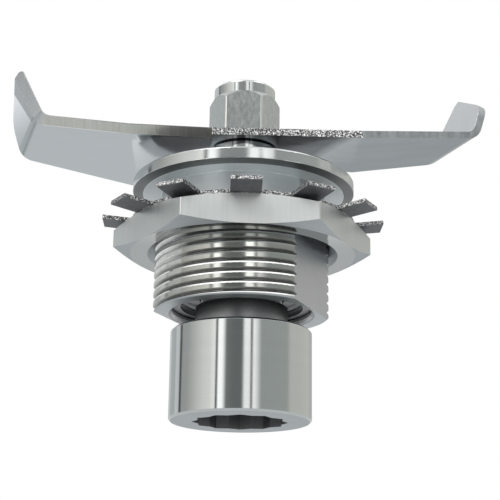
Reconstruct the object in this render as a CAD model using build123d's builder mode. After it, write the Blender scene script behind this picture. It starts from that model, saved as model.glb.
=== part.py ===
"""Blender blade assembly: a flanged, threaded bearing holder with its tab washer and ring nut,
and the spindle that runs in it, with a two-wing blade on top and a drive socket below.

Millimetres, +Z up. The origin lies on the spindle axis in the drive socket's bottom face.
The blade's wings reach along X, and +Y is the leading side of the wing on +X.
"""
import os
from math import cos, radians, sin, tan

from build123d import *

os.makedirs("parts", exist_ok=True)

# Clearances, radial or along the axis
seat_clearance = 0.01
running_clearance = 0.06
thread_clearance = 0.08
washer_clearance = 0.35
groove_play = 0.1

# Drive socket, a turned cylinder with a twelve-point hole in its foot
socket_diameter = 28.5
socket_height = 18.2
socket_edge = 0.4
point_diameter = 19.2
point_depth = 11.5
socket_web = 1.2
socket_hub_diameter = 18.6
socket_spigot_step = 0.2
socket_gap = 3.5

# Holder, turned with its flange in one piece
thread_diameter = 36.0
thread_pitch = 2.0
thread_depth = 0.6
thread_root = 0.2
thread_flank = 30.0
thread_start = 0.25
holder_length = 25.15
holder_edge = 0.3
flats_across = 30.5
flats_turn = -24.0
neck_relief = 1.2
neck_length = 4.6
flange_diameter = 45.8
flange_thickness = 2.8
flange_cone_width = 2.1
flange_cone_height = 0.45
flange_edge = 0.3
bore_mouth_edge = 0.7
shoulder_diameter = 21.0

# Deep groove ball bearings
bearing_bore = 12.0
bearing_diameter = 28.0
bearing_width = 8.0
ring_wall = 2.2
ball_diameter = 4.76
ball_count = 8
race_clearance = 0.04
pocket_clearance = 0.12
cage_thickness = 1.3
cage_width = 6.0
shield_thickness = 0.3
shield_inset = 0.3
shield_gap = 0.4
shield_seat = 0.5
bearing_spacing = 2.5
bearing_edge = 0.4

# Retaining ring below the lower bearing
groove_land = 0.8
clip_thickness = 1.2
clip_groove_depth = 0.7
clip_width = 2.2
clip_gap_angle = 34.0
clip_turn = 90.0
clip_ear_diameter = 3.8
clip_ear_angle = 11.0
clip_ear_hole = 1.6

# Lip seal in the flange
seal_diameter = 24.0
seal_width = 4.0
seal_inset = 0.5
seal_case_wall = 0.8
seal_case_lip_bore = 17.0
seal_lip_thickness = 1.4
spring_wire = 1.0

# Spindle
collar_diameter = 15.0
collar_thickness = 1.4
seal_land_rise = 0.55
blade_seat_diameter = 10.0
blade_seat_flats = 8.2
top_thread_diameter = 8.0
lower_thread_diameter = 10.0
spindle_edge = 0.6

# Spacer between the seal land and the blade
spacer_diameter = 14.0
spacer_length = 7.0
spacer_edge = 0.3

# Blade, one stamped and ground sheet with its wings set down, pitched and turned up at the tips
blade_thickness = 1.5
hub_half_length = 6.6
hub_half_width = 9.4
wing_knee = 23.5
wing_drop = 1.45
wing_rise = 6.25
wing_pitch = 4.7
wing_leading = 12.6
wing_trailing = 15.8
wing_tip_leading = 11.9
wing_tip_trailing = 8.0
bend_leading_reach = 41.6
bend_trailing_reach = 48.0
bend_angle = 63.9
bend_radius = 2.2
tip_height = 13.95
tip_trailing_height = 7.4
tip_lean = 5.95
tip_trailing_lean = 0.6
tip_trailing_round = 4.4
tip_leading_round = 1.0
bevel_width = 2.2
bevel_land = 0.15

# Cap nut on the spindle's top thread
cap_nut_across_flats = 13.0
cap_nut_hex_height = 9.6
cap_nut_cone_height = 1.4
cap_diameter = 12.9
cap_height = 2.6
cap_edge = 0.6
cap_roof = 2.2
cap_nut_turn = -2.0

# Ring nut on the holder's thread
ring_nut_across_flats = 46.0
ring_nut_height = 6.0
ring_nut_rest = 12.4
ring_nut_chamfer = 20.0
ring_nut_countersink = 1.4
ring_nut_turn = 3.3

# Tab washer on top of the ring nut
washer_thickness = 0.8
washer_ring_diameter = 46.0
tab_circle_diameter = 57.6
tab_width = 6.0
tab_count = 12
tab_tilt = 6.0
tab_root = 1.2
tab_turn = 1.05

# Heights along the axis, from the foot up
holder_z = socket_height + socket_gap
flange_z = holder_z + holder_length
flange_top_z = flange_z + flange_thickness
clip_z = holder_z + bore_mouth_edge + groove_land
lower_bearing_z = clip_z + clip_thickness + groove_play
upper_bearing_z = lower_bearing_z + bearing_width + bearing_spacing
shoulder_z = upper_bearing_z + bearing_width
seal_z = flange_top_z - seal_inset - seal_width
spacer_z = flange_top_z + seal_land_rise
blade_z = spacer_z + spacer_length
blade_top_z = blade_z + blade_thickness
cap_nut_top_z = blade_top_z + cap_nut_hex_height + cap_height
ring_nut_z = holder_z + ring_nut_rest
washer_z = ring_nut_z + ring_nut_height
stub_z = point_depth + socket_web

# Radii that several pieces share
bore_radius = bearing_diameter / 2 + seat_clearance
thread_radius = thread_diameter / 2
neck_diameter = thread_diameter - 2 * neck_relief
pitch_radius = (bearing_bore + bearing_diameter) / 4
ball_radius = ball_diameter / 2
inner_ring_radius = bearing_bore / 2 + ring_wall
outer_ring_bore = bearing_diameter - 2 * ring_wall
spindle_radius = bearing_bore / 2


def ring_section(inner, outer, low, high):
    """A closed section for a turned ring, drawn in the XZ plane."""
    Polyline((inner, low), (outer, low), (outer, high), (inner, high), close=True)


# Helical groove of the holder's thread, which starts on a flat and runs out at the neck
neck_z = flange_z - neck_length
with BuildPart() as thread_groove:
    with BuildLine() as thread_path:
        thread_z = holder_z + thread_start
        Helix(thread_pitch, neck_z + thread_pitch / 2 - thread_z, thread_radius, center=(0, 0, thread_z))
    with BuildSketch(Plane.XZ):
        with BuildLine():
            mouth_radius = thread_radius + thread_clearance
            half_root = thread_root / 2
            half_mouth = half_root + (thread_depth + thread_clearance) * tan(radians(thread_flank))
            Polyline(
                (thread_radius - thread_depth, thread_z - half_root),
                (mouth_radius, thread_z - half_mouth),
                (mouth_radius, thread_z + half_mouth),
                (thread_radius - thread_depth, thread_z + half_root),
                close=True,
            )
        make_face()
    sweep(path=thread_path.line, is_frenet=True)


# Holder: flange, threaded body with two flats, bearing bore, clip groove and seal seat
with BuildPart() as holder:
    with BuildSketch(Plane.XZ):
        with BuildLine():
            flange_radius = flange_diameter / 2
            Polyline(
                (bore_radius + bore_mouth_edge, holder_z),
                (thread_radius - holder_edge, holder_z),
                (thread_radius, holder_z + holder_edge),
                (thread_radius, neck_z - neck_relief),
                (neck_diameter / 2, neck_z),
                (neck_diameter / 2, flange_z),
                (flange_radius - flange_cone_width, flange_z),
                (flange_radius, flange_z + flange_cone_height),
                (flange_radius, flange_top_z - flange_edge),
                (flange_radius - flange_edge, flange_top_z),
                (seal_diameter / 2 + seat_clearance, flange_top_z),
                (seal_diameter / 2 + seat_clearance, seal_z),
                (shoulder_diameter / 2, seal_z),
                (shoulder_diameter / 2, shoulder_z),
                (bore_radius, shoulder_z),
                (bore_radius, holder_z + bore_mouth_edge),
                close=True,
            )
        make_face()
    revolve(axis=Axis.Z)
    with BuildSketch(Plane.XZ):
        with BuildLine():
            ring_section(
                bore_radius - groove_play,
                bore_radius + clip_groove_depth,
                clip_z - groove_play,
                lower_bearing_z,
            )
        make_face()
    revolve(axis=Axis.Z, mode=Mode.SUBTRACT)
    add(thread_groove.part, rotation=(0, 0, 180 + flats_turn), mode=Mode.SUBTRACT)
    with BuildSketch(Plane.XY.offset(holder_z)):
        side = thread_diameter - flats_across
        with PolarLocations(flats_across / 2 + side / 2, 2, start_angle=flats_turn):
            Rectangle(side, thread_diameter)
    extrude(amount=holder_length, mode=Mode.SUBTRACT)
holder.part.label = "holder"
export_step(holder.part, "parts/holder.step")


# Bearings: rings with ball tracks, caged balls and a shield on each side
for place, bearing_z in (("lower", lower_bearing_z), ("upper", upper_bearing_z)):
    middle_z = bearing_z + bearing_width / 2
    track_radius = ball_radius + race_clearance
    shield_seat_radius = outer_ring_bore / 2 + shield_seat
    shield_levels = (
        bearing_z + shield_inset,
        bearing_z + bearing_width - shield_inset - shield_thickness,
    )

    with BuildPart() as outer_ring:
        with BuildSketch(Plane.XZ):
            with BuildLine():
                ring_section(
                    outer_ring_bore / 2, bearing_diameter / 2, bearing_z, bearing_z + bearing_width
                )
            make_face()
            with Locations((pitch_radius, middle_z)):
                Circle(track_radius, mode=Mode.SUBTRACT)
            for shield_z in shield_levels:
                with BuildLine():
                    ring_section(
                        outer_ring_bore / 2 - shield_seat,
                        shield_seat_radius + seat_clearance,
                        shield_z - seat_clearance,
                        shield_z + shield_thickness + seat_clearance,
                    )
                make_face(mode=Mode.SUBTRACT)
        revolve(axis=Axis.Z)
        rims = outer_ring.edges().filter_by(GeomType.CIRCLE)
        chamfer(rims.filter_by(lambda edge: abs(edge.radius - bearing_diameter / 2) < 0.001), bearing_edge)
    outer_ring.part.label = f"{place}_bearing_outer_ring"
    export_step(outer_ring.part, f"parts/{place}_bearing_outer_ring.step")

    with BuildPart() as inner_ring:
        with BuildSketch(Plane.XZ):
            with BuildLine():
                ring_section(
                    spindle_radius + seat_clearance,
                    inner_ring_radius,
                    bearing_z,
                    bearing_z + bearing_width,
                )
            make_face()
            with Locations((pitch_radius, middle_z)):
                Circle(track_radius, mode=Mode.SUBTRACT)
        revolve(axis=Axis.Z)
    inner_ring.part.label = f"{place}_bearing_inner_ring"
    export_step(inner_ring.part, f"parts/{place}_bearing_inner_ring.step")

    with BuildPart() as balls:
        with Locations((0, 0, middle_z)):
            with PolarLocations(pitch_radius, ball_count):
                Sphere(ball_radius)
    balls.part.label = f"{place}_bearing_balls"
    export_step(balls.part, f"parts/{place}_bearing_balls.step")

    with BuildPart() as cage:
        with BuildSketch(Plane.XZ):
            with Locations((pitch_radius, middle_z)):
                Rectangle(cage_thickness, cage_width)
        revolve(axis=Axis.Z)
        with Locations((0, 0, middle_z)):
            with PolarLocations(pitch_radius, ball_count):
                Cylinder(
                    ball_radius + pocket_clearance,
                    2 * cage_thickness,
                    rotation=(0, 90, 0),
                    mode=Mode.SUBTRACT,
                )
    cage.part.label = f"{place}_bearing_cage"
    export_step(cage.part, f"parts/{place}_bearing_cage.step")

    with BuildPart() as shields:
        with BuildSketch(Plane.XZ):
            for shield_z in shield_levels:
                with BuildLine():
                    ring_section(
                        inner_ring_radius + shield_gap,
                        shield_seat_radius,
                        shield_z,
                        shield_z + shield_thickness,
                    )
                make_face()
        revolve(axis=Axis.Z)
    shields.part.label = f"{place}_bearing_shields"
    export_step(shields.part, f"parts/{place}_bearing_shields.step")


# Spacers that keep the two bearings apart, one between the outer rings and one between the inner
spacer_low_z = lower_bearing_z + bearing_width
with BuildPart() as outer_spacer:
    with BuildSketch(Plane.XZ):
        with BuildLine():
            ring_section(outer_ring_bore / 2, bearing_diameter / 2, spacer_low_z, upper_bearing_z)
        make_face()
    revolve(axis=Axis.Z)
outer_spacer.part.label = "bearing_outer_spacer"
export_step(outer_spacer.part, "parts/bearing_outer_spacer.step")

with BuildPart() as inner_spacer:
    with BuildSketch(Plane.XZ):
        with BuildLine():
            ring_section(
                spindle_radius + seat_clearance, inner_ring_radius, spacer_low_z, upper_bearing_z
            )
        make_face()
    revolve(axis=Axis.Z)
inner_spacer.part.label = "bearing_inner_spacer"
export_step(inner_spacer.part, "parts/bearing_inner_spacer.step")


# Retaining ring: an open ring with two eared ends, sprung into the groove under the lower bearing
with BuildPart() as retaining_ring:
    clip_radius = bore_radius + clip_groove_depth - groove_play
    ear_radius = clip_radius - clip_ear_diameter / 2 - groove_play
    with BuildSketch(Plane.XY.offset(clip_z)):
        Circle(clip_radius)
        Circle(clip_radius - clip_width, mode=Mode.SUBTRACT)
        with BuildLine():
            gap_reach = 2 * clip_radius
            half_gap = clip_gap_angle / 2
            first_side = (
                gap_reach * cos(radians(clip_turn - half_gap)),
                gap_reach * sin(radians(clip_turn - half_gap)),
            )
            second_side = (
                gap_reach * cos(radians(clip_turn + half_gap)),
                gap_reach * sin(radians(clip_turn + half_gap)),
            )
            Polyline((0, 0), first_side, second_side, close=True)
        make_face(mode=Mode.SUBTRACT)
        for ear_turn in (clip_turn - half_gap - clip_ear_angle, clip_turn + half_gap + clip_ear_angle):
            with PolarLocations(ear_radius, 1, start_angle=ear_turn):
                Circle(clip_ear_diameter / 2)
                Circle(clip_ear_hole / 2, mode=Mode.SUBTRACT)
    extrude(amount=clip_thickness)
retaining_ring.part.label = "retaining_ring"
export_step(retaining_ring.part, "parts/retaining_ring.step")


# Lip seal: a pressed steel case, the rubber lip bonded in it, and the garter spring round the lip
case_radius = seal_diameter / 2
case_inner = case_radius - seal_case_wall
case_floor = seal_z + seal_case_wall
seal_top_z = seal_z + seal_width
lip_bore = spindle_radius + running_clearance
lip_outer = lip_bore + 2 * seal_lip_thickness
spring_radius = lip_outer
spring_z = seal_top_z - spring_wire

with BuildPart() as seal_case:
    with BuildSketch(Plane.XZ):
        with BuildLine():
            Polyline(
                (seal_case_lip_bore / 2, seal_z),
                (case_radius, seal_z),
                (case_radius, seal_top_z),
                (case_inner, seal_top_z),
                (case_inner, case_floor),
                (seal_case_lip_bore / 2, case_floor),
                close=True,
            )
        make_face()
    revolve(axis=Axis.Z)
seal_case.part.label = "seal_case"
export_step(seal_case.part, "parts/seal_case.step")

with BuildPart() as seal_lip:
    with BuildSketch(Plane.XZ):
        with BuildLine():
            Polyline(
                (lip_bore + seal_lip_thickness, case_floor),
                (case_inner, case_floor),
                (case_inner, case_floor + seal_lip_thickness),
                (lip_outer, case_floor + seal_lip_thickness),
                (lip_outer, seal_top_z),
                (lip_bore + seal_lip_thickness, seal_top_z),
                (lip_bore, spring_z),
                close=True,
            )
        make_face()
        with Locations((spring_radius, spring_z)):
            Circle(spring_wire / 2 + seat_clearance, mode=Mode.SUBTRACT)
    revolve(axis=Axis.Z)
seal_lip.part.label = "seal_lip"
export_step(seal_lip.part, "parts/seal_lip.step")

with BuildPart() as seal_spring:
    with BuildSketch(Plane.XZ):
        with Locations((spring_radius, spring_z)):
            Circle(spring_wire / 2)
    revolve(axis=Axis.Z)
seal_spring.part.label = "seal_spring"
export_step(seal_spring.part, "parts/seal_spring.step")


# Spindle: threaded stub, bearing seat, collar, seal land, flatted blade seat and top thread
spindle_top_z = cap_nut_top_z - cap_roof - groove_play
with BuildPart() as spindle:
    with BuildSketch(Plane.XZ):
        with BuildLine():
            stub_radius = lower_thread_diameter / 2
            top_radius = top_thread_diameter / 2
            Polyline(
                (0, stub_z + groove_play),
                (stub_radius - spindle_edge, stub_z + groove_play),
                (stub_radius, stub_z + groove_play + spindle_edge),
                (stub_radius, lower_bearing_z),
                (spindle_radius, lower_bearing_z),
                (spindle_radius, shoulder_z),
                (collar_diameter / 2, shoulder_z),
                (collar_diameter / 2, shoulder_z + collar_thickness),
                (spindle_radius, shoulder_z + collar_thickness),
                (spindle_radius, spacer_z),
                (blade_seat_diameter / 2, spacer_z),
                (blade_seat_diameter / 2, blade_top_z - groove_play),
                (top_radius, blade_top_z - groove_play),
                (top_radius, spindle_top_z - spindle_edge),
                (top_radius - spindle_edge, spindle_top_z),
                (0, spindle_top_z),
                close=True,
            )
        make_face()
    revolve(axis=Axis.Z)
    with BuildSketch(Plane.XY.offset(blade_z - spindle_edge)):
        with PolarLocations(blade_seat_flats / 2 + blade_seat_diameter / 2, 2, start_angle=90):
            Rectangle(blade_seat_diameter, blade_seat_diameter)
    extrude(amount=blade_thickness + spindle_edge, mode=Mode.SUBTRACT)
spindle.part.label = "spindle"
export_step(spindle.part, "parts/spindle.step")


# Spacer sleeve that carries the blade above the flange
with BuildPart() as blade_spacer:
    with BuildSketch(Plane.XZ):
        with BuildLine():
            ring_section(
                blade_seat_diameter / 2 + seat_clearance, spacer_diameter / 2, spacer_z, blade_z
            )
        make_face()
    revolve(axis=Axis.Z)
    rims = blade_spacer.edges().filter_by(GeomType.CIRCLE)
    chamfer(rims.filter_by(lambda edge: abs(edge.radius - spacer_diameter / 2) < 0.001), spacer_edge)
blade_spacer.part.label = "blade_spacer"
export_step(blade_spacer.part, "parts/blade_spacer.step")


# Drive socket: twelve-point hole below, threaded hub above
with BuildPart() as drive_socket:
    with BuildSketch(Plane.XZ):
        with BuildLine():
            socket_radius = socket_diameter / 2
            hub_radius = socket_hub_diameter / 2
            hub_bore = lower_thread_diameter / 2 + seat_clearance
            Polyline(
                (0, 0),
                (socket_radius - socket_edge, 0),
                (socket_radius, socket_edge),
                (socket_radius, socket_height - socket_edge),
                (socket_radius - socket_edge, socket_height),
                (hub_radius, socket_height),
                (hub_radius, clip_z - groove_play),
                (inner_ring_radius - socket_spigot_step, clip_z - groove_play),
                (inner_ring_radius - socket_spigot_step, lower_bearing_z),
                (hub_bore, lower_bearing_z),
                (hub_bore, stub_z),
                (0, stub_z),
                close=True,
            )
        make_face()
    revolve(axis=Axis.Z)
    with BuildSketch(Plane.XY):
        RegularPolygon(point_diameter / 2, 6)
        RegularPolygon(point_diameter / 2, 6, rotation=30)
    extrude(amount=point_depth, mode=Mode.SUBTRACT)
drive_socket.part.label = "drive_socket"
export_step(drive_socket.part, "parts/drive_socket.step")


# Blade: a flat hub, and two wings that are set down, pitched, and bent up at the tips
def wing_point(x, y):
    """The point of the wing's sloping underside at a place in plan."""
    rise = (x - wing_knee) * tan(radians(wing_rise))
    pitch = y * tan(radians(wing_pitch))
    return Vector(x, y, blade_z - wing_drop + rise + pitch)


def plane_through(first, second, third):
    """The plane through three points, which turn anticlockwise round its normal."""
    return Plane(origin=first, x_dir=second - first, z_dir=(second - first).cross(third - first))


knee_leading = wing_point(wing_knee, wing_leading)
knee_trailing = wing_point(wing_knee, -wing_trailing)
bend_leading = wing_point(bend_leading_reach, wing_tip_leading)
bend_trailing = wing_point(bend_trailing_reach, -wing_tip_trailing)
bend_line = (bend_leading - bend_trailing).normalized()
wing_normal = Vector(-tan(radians(wing_rise)), -tan(radians(wing_pitch)), 1).normalized()
wing_outward = bend_line.cross(wing_normal)
tip_up = wing_outward * cos(radians(bend_angle)) + wing_normal * sin(radians(bend_angle))
tip_normal = bend_line.cross(tip_up)
tip_leading = bend_leading - bend_line * tip_lean + tip_up * tip_height
tip_trailing = bend_trailing + bend_line * tip_trailing_lean + tip_up * tip_trailing_height

wing_under = Plane(origin=bend_trailing, x_dir=wing_outward, z_dir=wing_normal)
tip_outside = Plane(origin=bend_trailing, x_dir=tip_up, z_dir=tip_normal)
wing_section = Plane(origin=bend_trailing, x_dir=wing_outward, z_dir=-bend_line)
knee_cut = plane_through(knee_trailing, knee_leading, knee_leading + wing_normal)
leading_cut = plane_through(bend_leading, knee_leading, tip_leading)
trailing_cut = plane_through(bend_trailing, knee_trailing, tip_trailing)
top_cut = plane_through(tip_leading, tip_trailing, tip_leading + tip_normal)
wing_stock = 2 * bend_trailing_reach


def corner_round(corner, first, second, radius):
    """What the round of a corner takes away, drawn along the bisector of the corner's two sides."""
    half_corner = radians(first.get_angle(second) / 2)
    corner_stock = 2 * (radius + blade_thickness)
    with BuildPart() as rounded:
        with BuildSketch(Plane(origin=corner, x_dir=first + second, z_dir=first.cross(second))):
            with Locations((radius * cos(half_corner) / tan(half_corner), 0)):
                Rectangle(corner_stock, corner_stock, align=(Align.MAX, Align.CENTER))
            with Locations((radius / sin(half_corner), 0)):
                Circle(radius, mode=Mode.SUBTRACT)
        extrude(amount=corner_stock, both=True)
    return rounded.part


def across(direction, edge):
    """The part of a direction that lies square to an edge."""
    return (direction - edge * direction.dot(edge)).normalized()


to_bend = (bend_leading - tip_leading).normalized()
to_trailing = (tip_trailing - tip_leading).normalized()
leading_round = corner_round(tip_leading, to_bend, to_trailing, tip_leading_round)
trailing_edge = trailing_cut.z_dir.cross(top_cut.z_dir).normalized()
to_heel = across(bend_trailing - tip_trailing, trailing_edge)
to_leading = across(tip_leading - tip_trailing, trailing_edge)
trailing_round = corner_round(tip_trailing, to_heel, to_leading, tip_trailing_round)


def is_ground(edge):
    """Whether a straight edge lies on the blade's underside or on the tip's outside."""
    heights = [plane.to_local_coords(edge.center()).Z for plane in (wing_under, tip_outside)]
    return min(abs(height) for height in heights) < blade_thickness / 2


with BuildPart() as wing:
    with BuildSketch(wing_section):
        with BuildLine():
            tip_run = 2 * tip_height
            FilletPolyline(
                (-wing_stock, 0),
                (0, 0),
                (tip_run * cos(radians(bend_angle)), tip_run * sin(radians(bend_angle))),
                radius=bend_radius + blade_thickness,
            )
            offset(amount=blade_thickness, side=Side.LEFT)
        make_face()
    extrude(amount=wing_stock, both=True)
    split(bisect_by=knee_cut, keep=Keep.TOP)
    split(bisect_by=leading_cut, keep=Keep.BOTTOM)
    split(bisect_by=trailing_cut, keep=Keep.TOP)
    split(bisect_by=top_cut, keep=Keep.BOTTOM)
    leading_face = wing.faces().sort_by(lambda face: abs(face.normal_at().dot(leading_cut.z_dir)))[-1]
    long_edges = leading_face.edges().filter_by(lambda edge: edge.length > 2 * blade_thickness)
    straight_edges = long_edges.filter_by(GeomType.LINE).filter_by(is_ground)
    bend_edge = long_edges.filter_by(GeomType.LINE, reverse=True).sort_by(SortBy.LENGTH)[-1]
    chamfer(
        straight_edges + [bend_edge],
        blade_thickness - bevel_land,
        bevel_width,
        reference=leading_face,
    )
    add(trailing_round, mode=Mode.SUBTRACT)
    add(leading_round, mode=Mode.SUBTRACT)

hub_end = Plane(origin=(hub_half_length, 0, blade_z), x_dir=(0, 1, 0), z_dir=(1, 0, 0))
with BuildPart() as wing_root:
    with BuildSketch(hub_end):
        with BuildLine():
            Polyline(
                (-hub_half_width, 0),
                (hub_half_width - bevel_width, 0),
                (hub_half_width, blade_thickness - bevel_land),
                (hub_half_width, blade_thickness),
                (-hub_half_width, blade_thickness),
                close=True,
            )
        make_face()
    add(wing.faces().sort_by(Axis.X)[0])
    loft(ruled=True)

with BuildPart() as blade:
    with BuildSketch(Plane.XY.offset(blade_z)):
        Rectangle(2 * hub_half_length, 2 * hub_half_width)
    extrude(amount=blade_thickness)
    with PolarLocations(0, 2):
        add(wing.part)
        add(wing_root.part)
    with BuildSketch(Plane.XY.offset(blade_z)):
        Circle(blade_seat_diameter / 2 + seat_clearance)
        Rectangle(
            blade_seat_diameter * 2, blade_seat_flats + 2 * seat_clearance, mode=Mode.INTERSECT
        )
    extrude(amount=blade_thickness, mode=Mode.SUBTRACT)
blade.part.label = "blade"
export_step(blade.part, "parts/blade.step")


# Cap nut: a hexagon with coned corners under a closed round cap
with BuildPart() as cap_nut:
    cap_nut_cone_z = blade_top_z + cap_nut_hex_height - cap_nut_cone_height
    cap_seat_z = blade_top_z + cap_nut_hex_height
    with BuildSketch(Plane.XY.offset(blade_top_z)):
        RegularPolygon(cap_nut_across_flats / 2, 6, major_radius=False, rotation=cap_nut_turn)
    extrude(amount=cap_nut_hex_height + cap_height)
    with BuildSketch(Plane.XZ):
        with BuildLine():
            corner_radius = cap_nut_across_flats / 2 / cos(radians(30))
            cap_radius = cap_diameter / 2
            Polyline(
                (0, blade_top_z),
                (corner_radius, blade_top_z),
                (corner_radius, cap_nut_cone_z),
                (cap_nut_across_flats / 2, cap_seat_z),
                (cap_radius, cap_seat_z),
                (cap_radius, cap_nut_top_z),
                (0, cap_nut_top_z),
                close=True,
            )
        make_face()
    revolve(axis=Axis.Z, mode=Mode.INTERSECT)
    fillet(cap_nut.faces().sort_by(Axis.Z)[-1].edges(), cap_edge)
    with BuildSketch(Plane.XY.offset(blade_top_z)):
        Circle(top_thread_diameter / 2 + thread_clearance)
    extrude(amount=cap_nut_top_z - cap_roof - blade_top_z, mode=Mode.SUBTRACT)
cap_nut.part.label = "cap_nut"
export_step(cap_nut.part, "parts/cap_nut.step")


# Ring nut: a thin hexagon with coned corners and a countersunk bore
with BuildPart() as ring_nut:
    with BuildSketch(Plane.XY.offset(ring_nut_z)):
        RegularPolygon(ring_nut_across_flats / 2, 6, major_radius=False, rotation=ring_nut_turn)
    extrude(amount=ring_nut_height)
    with BuildSketch(Plane.XZ):
        with BuildLine():
            face_radius = ring_nut_across_flats / 2
            outer_radius = face_radius / cos(radians(30)) + thread_clearance
            cone_drop = (outer_radius - face_radius) * tan(radians(ring_nut_chamfer))
            nut_bore = thread_radius + thread_clearance
            Polyline(
                (nut_bore + ring_nut_countersink, ring_nut_z),
                (face_radius, ring_nut_z),
                (outer_radius, ring_nut_z + cone_drop),
                (outer_radius, washer_z - cone_drop),
                (face_radius, washer_z),
                (nut_bore + ring_nut_countersink, washer_z),
                (nut_bore, washer_z - ring_nut_countersink),
                (nut_bore, ring_nut_z + ring_nut_countersink),
                close=True,
            )
        make_face()
    revolve(axis=Axis.Z, mode=Mode.INTERSECT)
ring_nut.part.label = "ring_nut"
export_step(ring_nut.part, "parts/ring_nut.step")


# Tab washer: a thin ring keyed on the holder's flats, with a crown of tabs bent up from its edge
tab_start = washer_ring_diameter / 2 - tab_root
tab_plane = Plane(
    origin=(tab_start, 0, washer_z),
    x_dir=(cos(radians(tab_tilt)), 0, sin(radians(tab_tilt))),
    z_dir=(-sin(radians(tab_tilt)), 0, cos(radians(tab_tilt))),
)
with BuildPart() as washer_tab:
    with BuildSketch(tab_plane):
        tab_length = (tab_circle_diameter / 2 - tab_start) / cos(radians(tab_tilt))
        Rectangle(tab_length, tab_width, align=(Align.MIN, Align.CENTER))
    extrude(amount=washer_thickness)

with BuildPart() as tab_washer:
    with BuildSketch(Plane.XY.offset(washer_z)):
        Circle(washer_ring_diameter / 2)
    extrude(amount=washer_thickness)
    with PolarLocations(0, tab_count, start_angle=tab_turn):
        add(washer_tab.part)
    with BuildSketch(Plane.XY.offset(washer_z)):
        hole_diameter = thread_diameter + 2 * washer_clearance
        Circle(hole_diameter / 2)
        Rectangle(
            flats_across + 2 * washer_clearance,
            hole_diameter,
            rotation=flats_turn,
            mode=Mode.INTERSECT,
        )
    extrude(amount=2 * washer_thickness, mode=Mode.SUBTRACT)
tab_washer.part.label = "tab_washer"
export_step(tab_washer.part, "parts/tab_washer.step")
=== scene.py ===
"""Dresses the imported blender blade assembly: cut threads, softened corners and steel finishes,
on a pale floor in soft studio light, seen from slightly below."""

from math import cos, degrees, pi, radians, sin, tan

import bpy
from mathutils import Matrix, Vector


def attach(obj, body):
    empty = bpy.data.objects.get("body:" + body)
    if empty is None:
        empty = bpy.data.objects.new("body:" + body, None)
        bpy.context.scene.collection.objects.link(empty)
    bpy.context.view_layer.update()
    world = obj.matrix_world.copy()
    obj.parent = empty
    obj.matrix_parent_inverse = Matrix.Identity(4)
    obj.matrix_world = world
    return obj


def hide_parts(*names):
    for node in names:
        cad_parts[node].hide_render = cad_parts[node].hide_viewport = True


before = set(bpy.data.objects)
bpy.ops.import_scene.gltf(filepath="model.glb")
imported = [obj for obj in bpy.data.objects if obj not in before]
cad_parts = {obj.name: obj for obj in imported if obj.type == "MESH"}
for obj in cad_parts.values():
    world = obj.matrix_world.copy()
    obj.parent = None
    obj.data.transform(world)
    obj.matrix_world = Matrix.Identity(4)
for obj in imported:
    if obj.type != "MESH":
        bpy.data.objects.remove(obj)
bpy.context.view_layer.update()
scene = bpy.context.scene

mm = 0.001

# Holder sizes in millimetres, as in the solids
holder_z = 21.7
holder_edge = 0.3
flange_z = 46.85
flange_top_z = 49.65
flange_radius = 22.9
flange_cone_width = 2.1
flange_cone_height = 0.45
flange_edge = 0.3
seat_radius = 19.7
neck_radius = 16.8
neck_z = 42.25
bore_radius = 14.01
bore_mouth_edge = 0.7
clip_groove_radius = 14.71
clip_groove_low_z = 23.1
clip_groove_high_z = 24.5
shoulder_radius = 10.5
shoulder_z = 43.0
seal_radius = 12.01
seal_z = 45.15
flats_across = 30.5
flats_turn = -24.0

# Thread on the holder: a flat root, steep flanks, and crests whose upper edges are worn off
thread_radius = 18.0
thread_pitch = 2.0
thread_depth = 0.6
thread_root = 0.2
thread_flank = 30.0
thread_start_z = 21.95
thread_start_turn = 180.0 + flats_turn
thread_turns = 11
crest_wear = 0.06
crest_wear_tilt = 12.0
# Painted light in the thread's groove: lighter and less metallic high up on the side towards -X
lit_side_reach = 10.5
lit_side_z = 27.5
lit_side_fade = 4.0
lit_side_matt = 0.7

# Drive socket
socket_radius = 14.25
socket_height = 18.2
socket_edge = 0.4
socket_hub_radius = 9.3
socket_hub_z = 23.1
spigot_radius = 8.0
spigot_z = 24.5
socket_bore_radius = 5.01
socket_web_z = 12.7
point_radius = 9.6
point_depth = 11.5
broach_sides = 6

# Spacer sleeve under the blade
spacer_radius = 7.0
spacer_bore_radius = 5.01
spacer_z = 50.2
spacer_edge = 0.3

# Blade: the tip's points are those of the wing on +X
blade_z = 57.2
hub_half_length = 6.6
wing_knee = 23.5
# Where the painted shade on the blade's sheet ends: a slanting line across the wing on +X, its reach
# and its fade in millimetres
shade_edge_across = (0.945, 0.327)
shade_edge_reach = 13.2
shade_edge_fade = 2.8
tip_bend = Vector((41.6, 11.9, 58.7))
tip_point = Vector((47.87, 7.05, 71.64))
tip_heel = Vector((50.18, -7.0, 64.8))
tip_outside = Vector((0.897, 0.304, -0.321))
tip_bevel_width = 2.2
tip_bevel_spread = 0.42
tip_low_z = 62.5

# Parts of a normal along an axis that tell the blade's faces apart
same_face = 0.95
blade_upwards = 0.2
blade_sideways = 0.8
bevel_least = 0.45
bevel_most = 0.88
bevel_tilt = 0.3
tip_bevel_tilt = 0.42
tip_inside_tilt = 0.6
tip_edge_tilt = 0.75

# Seat of the cap nut's dome, and bore of the ring nut
cap_seat_z = 68.3
nut_bore_radius = 18.08

# How finely curves are stepped, how far corners are rounded or worn, and where shading creases
turning_steps = 192
thread_steps = 96
corner_steps = 3
turned_corner = 0.08
sheet_corner = 0.05
cap_corner_wear = 0.24
nut_corner_wear = 0.12
bevel_wear = 0.09
turned_crease = 24.0
milled_crease = 26.0
blade_crease = 20.0
square_corner = 70.0

# Reach within which points merge, and the turn below which two faces count as one
outline_merge = 0.001
copy_merge = 0.002
clean_merge = 0.01
flat_turn = 0.6

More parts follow.
